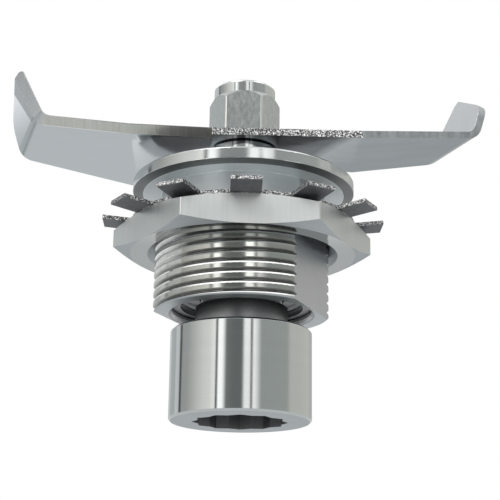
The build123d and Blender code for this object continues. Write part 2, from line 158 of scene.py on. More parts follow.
# Tests that pick faces: room round a place, and parts of a normal along an axis
slack = 0.1
facing = 0.5
square_on = 0.9
dead_on = 0.99
crest_tilt = 0.1
nut_bore_tilt = 0.2
nut_chamfer_tilt = 0.25
nut_corner_turn = 50.0
washer_edge_tilt = 0.6


# Finishes


class Amount:
    """A number that changes over a surface. Arithmetic on it adds Math nodes."""

    def __init__(self, finish, socket):
        self.finish = finish
        self.socket = socket

    def calculate(self, operation, *values):
        return self.finish.node("ShaderNodeMath", {"operation": operation}, dict(enumerate(values)))

    def __add__(self, other):
        return self.calculate("ADD", self, other)

    def __radd__(self, other):
        return self.calculate("ADD", other, self)

    def __sub__(self, other):
        return self.calculate("SUBTRACT", self, other)

    def __rsub__(self, other):
        return self.calculate("SUBTRACT", other, self)

    def __mul__(self, other):
        return self.calculate("MULTIPLY", self, other)

    def __rmul__(self, other):
        return self.calculate("MULTIPLY", other, self)

    def __truediv__(self, other):
        return self.calculate("DIVIDE", self, other)

    def __gt__(self, other):
        return self.calculate("GREATER_THAN", self, other)

    def __lt__(self, other):
        return self.calculate("LESS_THAN", self, other)

    def root(self):
        return self.calculate("SQRT", self)

    def held(self):
        """The number kept between nought and one."""
        return self.finish.node("ShaderNodeClamp", {}, {"Value": self})


class Finish:
    """A node tree that is built up by one method."""

    def __init__(self, owner):
        owner.use_nodes = True
        self.tree = owner.node_tree
        self.tree.nodes.clear()

    def node(self, kind, settings, sockets, output=0):
        made = self.tree.nodes.new(kind)
        for key, value in settings.items():
            if key == "stops":
                ramp = made.color_ramp.elements
                ramp[0].position, ramp[0].color = value[0]
                ramp[1].position, ramp[1].color = value[-1]
                for position, color in value[1:-1]:
                    ramp.new(position).color = color
            else:
                setattr(made, key, value)
        for key, value in sockets.items():
            if isinstance(value, Amount):
                self.tree.links.new(value.socket, made.inputs[key])
            else:
                made.inputs[key].default_value = value
        return Amount(self, made.outputs[output]) if made.outputs else None

    def place(self):
        return self.node("ShaderNodeTexCoord", {}, {}, "Object")

    def parts_of(self, vector):
        return [
            self.node("ShaderNodeSeparateXYZ", {}, {"Vector": vector}, axis) for axis in ("X", "Y", "Z")
        ]

    def scaled(self, vector, scale):
        return self.node("ShaderNodeMapping", {}, {"Vector": vector, "Scale": scale})

    def noise(self, vector, scale, detail=2.0, roughness=0.5):
        return self.node(
            "ShaderNodeTexNoise",
            {},
            {"Vector": vector, "Scale": scale, "Detail": detail, "Roughness": roughness},
        )

    def line_noise(self, along, scale, detail=2.0):
        return self.node(
            "ShaderNodeTexNoise",
            {"noise_dimensions": "1D"},
            {"W": along, "Scale": scale, "Detail": detail},
        )

    def blend(self, share, first, second):
        """Mixes two colours, which are inputs 6 and 7 of a Mix node, and output 2."""
        mix = {"data_type": "RGBA"}
        return self.node("ShaderNodeMix", mix, {0: share, 6: first, 7: second}, 2)

    def bump(self, height, depth):
        bump = {"Height": height, "Distance": depth, "Strength": 1.0}
        return self.node("ShaderNodeBump", {}, bump)

    def surface(self, sockets):
        shader = self.node("ShaderNodeBsdfPrincipled", {}, sockets)
        self.node("ShaderNodeOutputMaterial", {}, {"Surface": shader})


def shade(tone, level):
    """A tone made lighter or darker, as an opaque colour."""
    return tuple(channel * level for channel in tone) + (1.0,)


cool_steel = (0.585, 0.62, 0.635)
plain_steel = (0.595, 0.62, 0.612)
warm_steel = (0.60, 0.61, 0.57)
dull_steel = (0.41, 0.43, 0.43)
dark_steel = (0.15, 0.15, 0.155)

# Tool marks: rings are read along a slant, so that they show on faces and on cylinders alike
fine_slant = 1.31
broad_slant = 0.93
broad_step = 7.0
fine_share = 0.7
line_contrast = 1.6
line_floor = 0.3
rolled_stretch = (60.0, 300.0, 300.0)
rolled_spread = 0.03
rolled_depth = 0.0008

# Handling smudges, mottle in the thread's groove, torn edges and rubber: grain per metre, depth in
# millimetres
turned_smudges = 160.0
drawn_smudges = 130.0
mottle_grain = 900.0
mottle_spread = 0.3
mottle_depth = 0.01
torn_share = 0.54
torn_contrast = 9.0
rubber_grain = 2600.0
rubber_bloom = 240.0
rubber_depth = 0.02
rubber_gloss = 0.55
rubber_black = (0.012, 0.012, 0.012, 1.0)
rubber_grey = (0.035, 0.034, 0.033, 1.0)

# How far marks, smudges and grain change the gloss
smudge_gloss = 0.12
ring_gloss = 0.1
line_gloss = 0.16
grain_gloss = 0.2


def turned_steel(name, tone, gloss, ring_depth, ring_scale=5200.0, spread=0.12, metal=1.0):
    """Steel off the lathe: fine rings round the axis, with faint handling smudges."""
    material = bpy.data.materials.new(name)
    finish = Finish(material)
    place = finish.place()
    x, y, z = finish.parts_of(place)
    radius = (x * x + y * y).root()
    rings = finish.line_noise(radius + fine_slant * z, ring_scale, 3.0)
    broad_rings = finish.line_noise(radius * broad_slant + z, ring_scale / broad_step, 1.0)
    smudge = finish.noise(place, turned_smudges, 3.0)
    mark = (rings * fine_share + broad_rings * (1.0 - fine_share)).held()
    finish.surface(
        {
            "Base Color": finish.blend(mark, shade(tone, 1.0 - spread), shade(tone, 1.0 + spread)),
            "Metallic": metal,
            "Roughness": (gloss + ring_gloss * (rings - 0.5) + smudge_gloss * (smudge - 0.5)).held(),
            "Normal": finish.bump(rings, ring_depth * mm),
        }
    )
    return material


def drawn_steel(name, tone, gloss, line_depth, stretch, spread=0.1, metal=1.0):
    """Steel with straight fine marks: milled, ground or brushed along one direction."""
    material = bpy.data.materials.new(name)
    finish = Finish(material)
    place = finish.place()
    lines = finish.noise(finish.scaled(place, stretch), 1.0, 3.0, 0.6)
    smudge = finish.noise(place, drawn_smudges, 3.0)
    mark = (lines * line_contrast - line_floor).held()
    finish.surface(
        {
            "Base Color": finish.blend(mark, shade(tone, 1.0 - spread), shade(tone, 1.0 + spread)),
            "Metallic": metal,
            "Roughness": (gloss + line_gloss * (lines - 0.5) + smudge_gloss * (smudge - 0.5)).held(),
            "Normal": finish.bump(lines, line_depth * mm),
        }
    )
    return material


def rolled_sheet(name, tone, shade_paint, gloss):
    """Bright rolled sheet, with painted shade from the hub to a slanting line on the wing on +X."""
    material = bpy.data.materials.new(name)
    finish = Finish(material)
    place = finish.place()
    x, y, z = finish.parts_of(place)
    lines = finish.noise(finish.scaled(place, rolled_stretch), 1.0, 3.0, 0.6)
    smudge = finish.noise(place, drawn_smudges, 3.0)
    # Painted shade: dark from the hub to a slanting line on the wing on +X
    along_wing = shade_edge_across[0] * x + shade_edge_across[1] * y
    beyond_shade_edge = ((along_wing - shade_edge_reach * mm) / (shade_edge_fade * mm)).held()
    before_hub = ((x + hub_half_length * mm) / (shade_edge_fade * mm)).held()
    shade_painted = before_hub * (1.0 - beyond_shade_edge)
    plain = finish.blend(lines, shade(tone, 1.0 - rolled_spread), shade(tone, 1.0 + rolled_spread))
    finish.surface(
        {
            "Base Color": finish.blend(shade_painted, plain, shade(shade_paint, 1.0)),
            "Metallic": 1.0,
            "Roughness": (gloss + line_gloss * (lines - 0.5) + smudge_gloss * (smudge - 0.5)).held(),
            "Normal": finish.bump(lines, rolled_depth * mm),
        }
    )
    return material


def groove_steel(name, dark, bright, gloss):
    """The groove of the thread: mottled, and painted lighter and less metallic high up on the side
    towards -X, as light falling there.
    """
    material = bpy.data.materials.new(name)
    finish = Finish(material)
    place = finish.place()
    x, y, z = finish.parts_of(place)
    mottle = finish.noise(place, mottle_grain, 3.0)
    # Painted light: lighter high up on the side towards -X
    beside = ((x * -1.0 - lit_side_reach * mm) / (lit_side_fade * mm)).held()
    lit_side = beside * ((z - lit_side_z * mm) / (lit_side_fade * mm)).held()
    lit_share = (lit_side + mottle_spread * (mottle - 0.5)).held()
    finish.surface(
        {
            "Base Color": finish.blend(lit_share, shade(dark, 1.0), shade(bright, 1.0)),
            "Metallic": 1.0 - lit_side_matt * lit_side,
            "Roughness": (gloss + grain_gloss * (mottle - 0.5)).held(),
            "Normal": finish.bump(mottle, mottle_depth * mm),
        }
    )
    return material


def sheared_steel(name, tone, dark, gloss, grain=3600.0, depth=0.12):
    """The torn edge that a punch leaves: coarse bright and dark grain."""
    material = bpy.data.materials.new(name)
    finish = Finish(material)
    place = finish.place()
    coarse = finish.noise(place, grain, 3.0, 0.7)
    torn = ((coarse - torn_share) * torn_contrast + 0.5).held()
    finish.surface(
        {
            "Base Color": finish.blend(torn, shade(dark, 1.0), shade(tone, 1.0)),
            "Metallic": 1.0,
            "Roughness": (gloss + grain_gloss * (coarse - 0.5)).held(),
            "Normal": finish.bump(coarse, depth * mm),
        }
    )
    return material


def moulded_rubber(name):
    """Black nitrile with a fine matt grain."""
    material = bpy.data.materials.new(name)
    finish = Finish(material)
    place = finish.place()
    grain = finish.noise(place, rubber_grain, 3.0)
    bloom = finish.noise(place, rubber_bloom, 2.0)
    finish.surface(
        {
            "Base Color": finish.blend(bloom, rubber_black, rubber_grey),
            "Roughness": (rubber_gloss + grain_gloss * (grain - 0.5)).held(),
            "Normal": finish.bump(grain, rubber_depth * mm),
        }
    )
    return material


satin_turned = turned_steel("satin turned steel", (0.5, 0.53, 0.54), gloss=0.42, ring_depth=0.008)
bright_turned = turned_steel("bright turned steel", plain_steel, gloss=0.1, ring_depth=0.003)
# Painted shade: the flange's cone band under its rim is painted dark
cone_shade_turned = turned_steel(
    "flange cone steel painted dark as shade",
    (0.2, 0.205, 0.205),
    gloss=0.3,
    ring_depth=0.008,
    ring_scale=2600.0,
    spread=0.35,
)
# Painted light: the flange's underside is painted much lighter than the other turned steel
flange_under_lit = turned_steel(
    "flange underside steel painted light", (0.85, 0.875, 0.89), gloss=0.42, ring_depth=0.006
)
flange_top_turned = turned_steel(
    "flange top steel", (0.52, 0.53, 0.54), gloss=0.1, ring_depth=0.001
)
# Painted shade: the seat round the seal is painted dark, so that the blade's underside mirrors a shade
seal_seat_shade = turned_steel(
    "seal seat steel painted dark as shade", (0.07, 0.07, 0.072), gloss=0.2, ring_depth=0.004
)
socket_turned = turned_steel(
    "polished socket steel",
    plain_steel,
    gloss=0.085,
    ring_depth=0.0022,
    ring_scale=3800.0,
    spread=0.06,
)
# Painted shade: the socket's hub, deep in the bore, is darker than its sides
hub_shade_turned = turned_steel("socket hub steel painted dark as shade", (0.4, 0.4, 0.41), gloss=0.35, ring_depth=0.004)
# Painted shade: the broached hole is darker than the socket's steel
hole_shade = turned_steel("broached hole steel painted dark as shade", (0.32, 0.32, 0.325), gloss=0.4, ring_depth=0.01)
thread_crest = turned_steel(
    "thread crest steel",
    (0.47, 0.475, 0.45),
    gloss=0.12,
    ring_depth=0.003,
    ring_scale=5200.0,
    spread=0.3,
)
# The groove's flank, with painted light high up on the side towards -X
thread_under = groove_steel(
    "thread flank steel", dark=warm_steel, bright=(0.9, 0.9, 0.9), gloss=0.5
)
# Worn edges, their colour painted bright as a highlight
worn_edge_highlight = turned_steel("worn edge steel with painted highlight", (0.86, 0.86, 0.85), gloss=0.1, ring_depth=0.001)
# Painted shade: the thread's root is dark as the shade in the groove, with painted light high up on the
# side towards -X
thread_root_shade = groove_steel(
    "thread root steel painted as shade", dark=(0.13, 0.13, 0.13), bright=(0.9, 0.9, 0.9), gloss=0.2
)
# Painted shade: the holder's bore is darker than its outside
bore_shade_turned = turned_steel("bored steel painted dark as shade", (0.34, 0.35, 0.35), gloss=0.25, ring_depth=0.008)
# Painted light: the ring nut's bore is painted light and less metallic, lifting the shade in it
nut_bore_lit = turned_steel(
    "nut bore steel painted light", (0.8, 0.82, 0.82), gloss=0.4, ring_depth=0.008, metal=0.3
)
milled_flat = drawn_steel(
    "milled flat steel",
    (0.5, 0.515, 0.53),
    gloss=0.36,
    line_depth=0.006,
    stretch=(260.0, 260.0, 4200.0),
)
nut_mirror = turned_steel("nut underside steel", (0.4, 0.42, 0.41), gloss=0.09, ring_depth=0.001)
nut_milled = drawn_steel(
    "milled nut steel",
    plain_steel,
    gloss=0.4,
    line_depth=0.006,
    stretch=(3600.0, 3600.0, 90.0),
    spread=0.08,
)
washer_sheet = drawn_steel(
    "washer sheet steel",
    plain_steel,
    gloss=0.3,
    line_depth=0.006,
    stretch=(900.0, 1300.0, 900.0),
    spread=0.15,
)
# Painted shade: the washer's underside is painted nearly black
washer_under_shade = drawn_steel(
    "washer underside steel painted dark as shade",
    (0.13, 0.133, 0.14),
    gloss=0.45,
    line_depth=0.01,
    stretch=(1200.0, 900.0, 900.0),
    spread=0.3,
    metal=0.7,
)
blade_sheet = rolled_sheet("blade sheet steel with painted shade", cool_steel, shade_paint=(0.17, 0.18, 0.19), gloss=0.12)
blade_ground = drawn_steel(
    "ground bevel steel",
    (0.55, 0.555, 0.52),
    gloss=0.3,
    line_depth=0.01,
    stretch=(2600.0, 60.0, 60.0),
    spread=0.16,
    metal=0.75,
)
# Painted shade: the tip's inside is a darker copy of the blade's top
tip_inside = drawn_steel(
    "tip inside steel painted darker",
    (0.33, 0.35, 0.36),
    gloss=0.3,
    line_depth=0.002,
    stretch=(60.0, 900.0, 900.0),
    spread=0.06,
)
blade_top = drawn_steel(
    "blade top steel",
    (0.5, 0.515, 0.525),
    gloss=0.3,
    line_depth=0.002,
    stretch=(60.0, 900.0, 900.0),
    spread=0.06,
)
tip_bevel = drawn_steel(
    "tip bevel steel",
    (0.58, 0.6, 0.61),
    gloss=0.26,
    line_depth=0.006,
    stretch=(2600.0, 60.0, 60.0),
    spread=0.06,
)
tip_ground = drawn_steel(
    "ground tip steel",
    (0.34, 0.36, 0.37),
    gloss=0.26,
    line_depth=0.006,
    stretch=(2600.0, 60.0, 60.0),
    spread=0.08,
)
blade_land = drawn_steel(
    "blade land steel", dark_steel, gloss=0.3, line_depth=0.006, stretch=(900.0, 900.0, 300.0)
)
tip_edge = drawn_steel(
    "tip edge steel",
    (0.3, 0.315, 0.32),
    gloss=0.6,
    line_depth=0.006,
    stretch=(900.0, 900.0, 300.0),
    spread=0.2,
)
blade_cut_edge = drawn_steel(
    "cut blade edge steel",
    (0.31, 0.325, 0.33),
    gloss=0.3,
    line_depth=0.008,
    stretch=(900.0, 900.0, 300.0),
    spread=0.3,
)
cap_polished = turned_steel("polished cap steel", plain_steel, gloss=0.1, ring_depth=0.003)
cap_flat = drawn_steel(
    "cap nut flat steel",
    (0.47, 0.495, 0.485),
    gloss=0.25,
    line_depth=0.004,
    stretch=(1500.0, 1500.0, 700.0),
    spread=0.14,
)
bearing_ground = turned_steel("ground bearing steel", plain_steel, gloss=0.12, ring_depth=0.003)
pressed_sheet = turned_steel(
    "pressed sheet steel", dull_steel, gloss=0.3, ring_depth=0.01, ring_scale=2400.0
)
spring_dark = drawn_steel(
    "dark spring steel",
    (0.2, 0.2, 0.21),
    gloss=0.35,
    line_depth=0.01,
    stretch=(1500.0, 1500.0, 1500.0),
)
washer_torn = sheared_steel(
    "torn washer edge", (0.8, 0.8, 0.8), dark=(0.06, 0.06, 0.06), gloss=0.32
)
blade_torn = sheared_steel(
    "torn blade edge", (0.85, 0.85, 0.85), dark=(0.03, 0.03, 0.03), gloss=0.3
)
seal_black = moulded_rubber("black seal rubber")


# Working on meshes


def take(piece):
    """Selects one object alone and makes it the active one."""
    bpy.ops.object.select_all(action="DESELECT")
    piece.select_set(True)
    bpy.context.view_layer.objects.active = piece


def edit(piece):
    """Goes into edit mode with all of a piece selected."""
    take(piece)
    bpy.ops.object.mode_set(mode="EDIT")
    bpy.ops.mesh.select_mode(type="VERT")
    bpy.ops.mesh.select_all(action="SELECT")


def done():
    bpy.ops.object.mode_set(mode="OBJECT")


def apply(piece, kind, **settings):
    """Adds a modifier with its settings and applies it."""
    take(piece)
    modifier = piece.modifiers.new(kind.lower(), kind)
    for key, value in settings.items():
        setattr(modifier, key, value)
    bpy.ops.object.modifier_apply(modifier=modifier.name)


def clean(piece):
    """Merges doubles and turns all faces outwards."""
    edit(piece)
    bpy.ops.mesh.remove_doubles(threshold=clean_merge * mm)
    bpy.ops.mesh.normals_make_consistent(inside=False)
    done()


def finish_with(piece, *materials):
    """Gives a piece its materials, the first of them all over."""
    piece.data.materials.clear()
    for material in materials:
        piece.data.materials.append(material)


def reach(at):
    """How far a point lies from the axis."""
    return at.xy.length


def paint(piece, material, wanted):
    """Puts a material on the faces that a test picks by centre, in millimetres, and normal."""
    index = piece.data.materials.find(material.name)
    for face in piece.data.polygons:
        if wanted(face.center / mm, face.normal):
            face.material_index = index


def select_faces(piece, wanted):
    """Goes into edit mode with the faces selected that a test picks by centre and normal."""
    edit(piece)
    bpy.ops.mesh.select_all(action="DESELECT")
    done()
    for face in piece.data.polygons:
        face.select = wanted(face.center / mm, face.normal)
    bpy.ops.object.mode_set(mode="EDIT")


def smooth(piece, least_turn):
    """Shades a piece smooth, with a crease at each sharp corner and where two finishes meet."""
    edit(piece)
    for index in range(len(piece.data.materials)):
        bpy.ops.mesh.select_all(action="DESELECT")
        piece.active_material_index = index
        bpy.ops.object.material_slot_select()
        bpy.ops.mesh.region_to_loop()
        bpy.ops.mesh.mark_sharp()
    done()
    bpy.ops.object.shade_smooth_by_angle(angle=radians(least_turn))
    apply(piece, "WEIGHTED_NORMAL", keep_sharp=True)


def soften(piece, edge, least_turn=28.0, segments=2):
    """Rounds the corners of a piece."""
    apply(
        piece,
        "BEVEL",
        width=edge * mm,
        segments=segments,
        limit_method="ANGLE",
        angle_limit=radians(least_turn),
    )


def wear_edges(piece, width, material, wanted):
    """Rounds the edges that a test picks by middle, direction and the two faces' normals."""
    edit(piece)
    bpy.ops.mesh.select_all(action="DESELECT")
    done()
    sides = {}
    for face in piece.data.polygons:
        for key in face.edge_keys:
            sides.setdefault(key, []).append(face.normal)
    for edge in piece.data.edges:
        first, second = (piece.data.vertices[index].co for index in edge.key)
        normals = sides.get(edge.key, [])
        along = (second - first).normalized()
        edge.select = len(normals) == 2 and wanted((first + second) / (2 * mm), along, *normals)
    bpy.ops.object.mode_set(mode="EDIT")
    bpy.ops.mesh.select_mode(type="EDGE")
    bpy.ops.mesh.bevel(
        offset=width * mm,
        segments=corner_steps,
        affect="EDGES",
        clamp_overlap=False,
        material=piece.data.materials.find(material.name),
    )
    done()


def nut_corner(at, along, first, second):
    """Whether an edge is an upright corner between two flats."""
    return abs(along.z) > dead_on and degrees(first.angle(second)) > nut_corner_turn


def copy_of(node, name):
    """A copy of a CAD node's mesh as a new piece, with its flat faces made whole."""
    piece = bpy.data.objects.new(name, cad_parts[node].data.copy())
    scene.collection.objects.link(piece)
    take(piece)
    bpy.ops.mesh.customdata_custom_splitnormals_clear()
    edit(piece)
    bpy.ops.mesh.remove_doubles(threshold=copy_merge * mm)
    bpy.ops.mesh.dissolve_limited(angle_limit=radians(flat_turn))
    done()
    return piece


def outline(name, points, closed=True):
    """A wire through points of (radius, height), drawn out from one point in the XZ plane."""
    bpy.ops.object.select_all(action="DESELECT")
    bpy.ops.mesh.primitive_plane_add(size=mm)
    piece = bpy.context.object
    piece.name = name
    edit(piece)
    bpy.ops.mesh.merge(type="CENTER")
    start_radius, start_height = points[0]
    bpy.ops.transform.translate(value=(start_radius * mm, 0.0, start_height * mm))
    route = points + points[:1] if closed else points
    for (radius, height), (next_radius, next_height) in zip(route, route[1:]):
        step = ((next_radius - radius) * mm, 0.0, (next_height - height) * mm)
        bpy.ops.mesh.extrude_vertices_move(TRANSFORM_OT_translate={"value": step})
    bpy.ops.mesh.select_all(action="SELECT")
    bpy.ops.mesh.remove_doubles(threshold=outline_merge * mm)
    done()
    return piece


def turned(name, section, corner, closed=True):
    """A piece turned from a section of (radius, height) points, with its corners rounded."""
    piece = outline(name, section, closed)
    edit(piece)
    bpy.ops.mesh.bevel(offset=corner * mm, segments=corner_steps, affect="VERTICES")
    bpy.ops.mesh.select_all(action="SELECT")
    bpy.ops.mesh.spin(steps=turning_steps, angle=2 * pi, center=(0, 0, 0), axis=(0, 0, 1))
    done()
    clean(piece)
    return piece


def cut(piece, tool):
    """Cuts a piece with another mesh, whose material the cut takes, and throws the tool away."""
    apply(
        piece,
        "BOOLEAN",
        object=tool,
        operation="DIFFERENCE",
        solver="EXACT",
        material_mode="TRANSFER",
    )
    bpy.data.objects.remove(tool)


def dress(piece, body, node):
    """Names the body that a piece rides on and the node that it stands for."""
    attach(piece, body)
    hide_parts(node)


# Holder with its cut thread and flats


def thread_groove():
    """The helical groove between the crests, as a solid to cut with."""
    root_radius = thread_radius - thread_depth
    edge_radius = thread_radius - crest_wear
    reach_radius = thread_radius + crest_wear / 3
    half_root = thread_root / 2
    slope = tan(radians(thread_flank))
    half_edge = half_root + (edge_radius - root_radius) * slope
    section = [
        (root_radius, half_root),
        (reach_radius, half_root + (reach_radius - root_radius) * slope),
        (reach_radius, -half_edge - (reach_radius - edge_radius) / tan(radians(crest_wear_tilt))),
        (edge_radius, -half_edge),
        (root_radius, -half_root),
    ]
    groove = outline("groove", [(radius, thread_start_z + height) for radius, height in section])
    edit(groove)
    bpy.ops.transform.rotate(
        value=-radians(thread_start_turn), orient_axis="Z", center_override=(0, 0, 0)
    )
    done()
    apply(
        groove,
        "SCREW",
        axis="Z",
        angle=2 * pi,
        screw_offset=thread_pitch * mm,
        iterations=thread_turns,
        steps=thread_steps,
        render_steps=thread_steps,
    )
    edit(groove)
    bpy.ops.mesh.select_all(action="DESELECT")
    bpy.ops.mesh.select_non_manifold()
    bpy.ops.mesh.fill_holes(sides=0)
    bpy.ops.mesh.select_all(action="SELECT")
    bpy.ops.mesh.normals_make_consistent(inside=False)
    done()
    finish_with(groove, thread_root_shade, thread_under, worn_edge_highlight)
    paint(groove, thread_under, lambda at, out: out.z > facing)
    # The crests' worn upper edges, painted bright as a highlight
    paint(groove, worn_edge_highlight, lambda at, out: -facing < out.z < -crest_tilt)
    return groove


def flat_block(side):
    """What is milled off one side of the thread to make a flat."""
    width = 10.0
    breadth = 60.0
    below = 2.0
    length = flange_z - holder_z + below
    middle = flats_across / 2 + width / 2
    turn = radians(flats_turn + side)
    bpy.ops.object.select_all(action="DESELECT")
    bpy.ops.mesh.primitive_cube_add(
        size=mm,
        location=(middle * cos(turn) * mm, middle * sin(turn) * mm, (flange_z - length / 2) * mm),
        rotation=(0, 0, turn),
        scale=(width, breadth, length),
    )
    block = bpy.context.object
    finish_with(block, milled_flat)
    return block


def make_holder():
    """The bearing holder, turned, then cut with its thread and its two flats."""
    holder = turned(
        "threaded_holder",
        [
            (bore_radius + bore_mouth_edge, holder_z),
            (thread_radius - holder_edge, holder_z),
            (thread_radius, holder_z + holder_edge),
            (thread_radius, neck_z - thread_radius + neck_radius),
            (neck_radius, neck_z),
            (neck_radius, flange_z),
            (flange_radius - flange_cone_width, flange_z),
            (flange_radius, flange_z + flange_cone_height),
            (flange_radius, flange_top_z - flange_edge),
            (flange_radius - flange_edge, flange_top_z),
            (seat_radius, flange_top_z),
            (seal_radius, flange_top_z),
            (seal_radius, seal_z),
            (shoulder_radius, seal_z),
            (shoulder_radius, shoulder_z),
            (bore_radius, shoulder_z),
            (bore_radius, clip_groove_high_z),
            (clip_groove_radius, clip_groove_high_z),
            (clip_groove_radius, clip_groove_low_z),
            (bore_radius, clip_groove_low_z),
            (bore_radius, holder_z + bore_mouth_edge),
        ],
        turned_corner,
    )
    finish_with(
        holder,
        satin_turned,
        bright_turned,
        cone_shade_turned,
        flange_under_lit,
        flange_top_turned,
        seal_seat_shade,
        thread_crest,
        bore_shade_turned,
    )
    rim_radius = flange_radius - slack
    cone_radius = flange_radius - flange_cone_width
    under_floor = flange_z - slack
    top_floor = flange_top_z - slack
    crest_floor = thread_radius - crest_wear
    bore_reach = clip_groove_radius + slack
    # The flange's underside, painted light
    paint(holder, flange_under_lit, lambda at, out: at.z > under_floor and out.z < -facing)
    paint(holder, flange_top_turned, lambda at, out: at.z > seal_z and out.z > facing)
    # The seal's seat, painted dark as shade
    paint(holder, seal_seat_shade, lambda at, out: at.z > top_floor and reach(at) < seat_radius)
    # The cone band under the rim, painted dark as shade
    paint(
        holder,
        cone_shade_turned,
        lambda at, out: at.z > flange_z and reach(at) > cone_radius and out.z < -facing,
    )
    paint(holder, bright_turned, lambda at, out: at.z > flange_z and reach(at) > rim_radius)
    paint(holder, thread_crest, lambda at, out: at.z < neck_z and reach(at) > crest_floor)
    # The bore, painted dark as shade
    paint(holder, bore_shade_turned, lambda at, out: at.z < shoulder_z + slack and reach(at) < bore_reach)
    cut(holder, thread_groove())
    for side in (0.0, 180.0):
        cut(holder, flat_block(side))
    clean(holder)
    smooth(holder, turned_crease)
    dress(holder, "holder", "holder")


# Drive socket and spacer, turned


def make_drive_socket():
    """The drive socket, turned, then broached twice with six sides for its twelve points."""
    socket = turned(
        "polished_drive_socket",
        [
            (0.0, 0.0),
            (socket_radius - socket_edge, 0.0),
            (socket_radius, socket_edge),
            (socket_radius, socket_height - socket_edge),
            (socket_radius - socket_edge, socket_height),
            (socket_hub_radius, socket_height),
            (socket_hub_radius, socket_hub_z),
            (spigot_radius, socket_hub_z),
            (spigot_radius, spigot_z),
            (socket_bore_radius, spigot_z),
            (socket_bore_radius, socket_web_z),
            (0.0, socket_web_z),
        ],
        turned_corner,
        closed=False,
    )
    finish_with(socket, socket_turned, satin_turned, hub_shade_turned)
    hub_reach = socket_hub_radius + slack
    paint(socket, satin_turned, lambda at, out: at.z < slack and out.z < -square_on)
    # The hub deep in the bore, painted dark as shade
    paint(socket, hub_shade_turned, lambda at, out: at.z > socket_height and reach(at) < hub_reach)
    for turn in (0.0, 180.0 / broach_sides):
        bpy.ops.object.select_all(action="DESELECT")
        bpy.ops.mesh.primitive_cylinder_add(
            vertices=broach_sides,
            radius=point_radius * mm,
            depth=2 * point_depth * mm,
            rotation=(0, 0, radians(turn)),
        )
        broach = bpy.context.object
        # The broached hole's walls, painted dark as shade
        finish_with(broach, hole_shade)
        cut(socket, broach)
    clean(socket)
    smooth(socket, turned_crease)
    dress(socket, "rotor", "drive_socket")


def make_blade_spacer():
    spacer = turned(
        "polished_spacer",
        [
            (spacer_bore_radius, spacer_z),
            (spacer_radius - spacer_edge, spacer_z),
            (spacer_radius, spacer_z + spacer_edge),
            (spacer_radius, blade_z - spacer_edge),
            (spacer_radius - spacer_edge, blade_z),
            (spacer_bore_radius, blade_z),
        ],
        turned_corner,
    )
    finish_with(spacer, bright_turned)
    smooth(spacer, turned_crease)
    dress(spacer, "rotor", "blade_spacer")


# Pieces that keep the solids' shapes, with softened corners


def make_cap_nut():
    piece = copy_of("cap_nut", "polished_cap_nut")
    finish_with(piece, cap_flat, cap_polished, worn_edge_highlight)
    # Worn corners between the flats, painted bright as a highlight
    wear_edges(piece, cap_corner_wear, worn_edge_highlight, nut_corner)
    paint(piece, cap_polished, lambda at, out: at.z > cap_seat_z + slack / 2)
    smooth(piece, milled_crease)
    dress(piece, "rotor", "cap_nut")


def make_ring_nut():
    piece = copy_of("ring_nut", "milled_ring_nut")
    finish_with(piece, nut_milled, satin_turned, nut_mirror, nut_bore_lit, worn_edge_highlight)
    bore_reach = nut_bore_radius + slack / 2
    paint(piece, satin_turned, lambda at, out: abs(out.z) > nut_chamfer_tilt)
    paint(piece, nut_mirror, lambda at, out: abs(out.z) > dead_on)
    # Worn corners between the flats, painted bright as a highlight
    wear_edges(piece, nut_corner_wear, worn_edge_highlight, nut_corner)
    # The nut's bore, painted light
    paint(piece, nut_bore_lit, lambda at, out: abs(out.z) < nut_bore_tilt and reach(at) < bore_reach)
    smooth(piece, milled_crease)
    dress(piece, "nut", "ring_nut")


def make_tab_washer():
    piece = copy_of("tab_washer", "stamped_tab_washer")
    soften(piece, sheet_corner)
    finish_with(piece, washer_sheet, washer_under_shade, washer_torn)
    paint(piece, washer_torn, lambda at, out: abs(out.z) < washer_edge_tilt)
    # The washer's underside, painted dark as shade
    paint(piece, washer_under_shade, lambda at, out: out.z < -square_on)
    smooth(piece, milled_crease)
    dress(piece, "washer", "tab_washer")


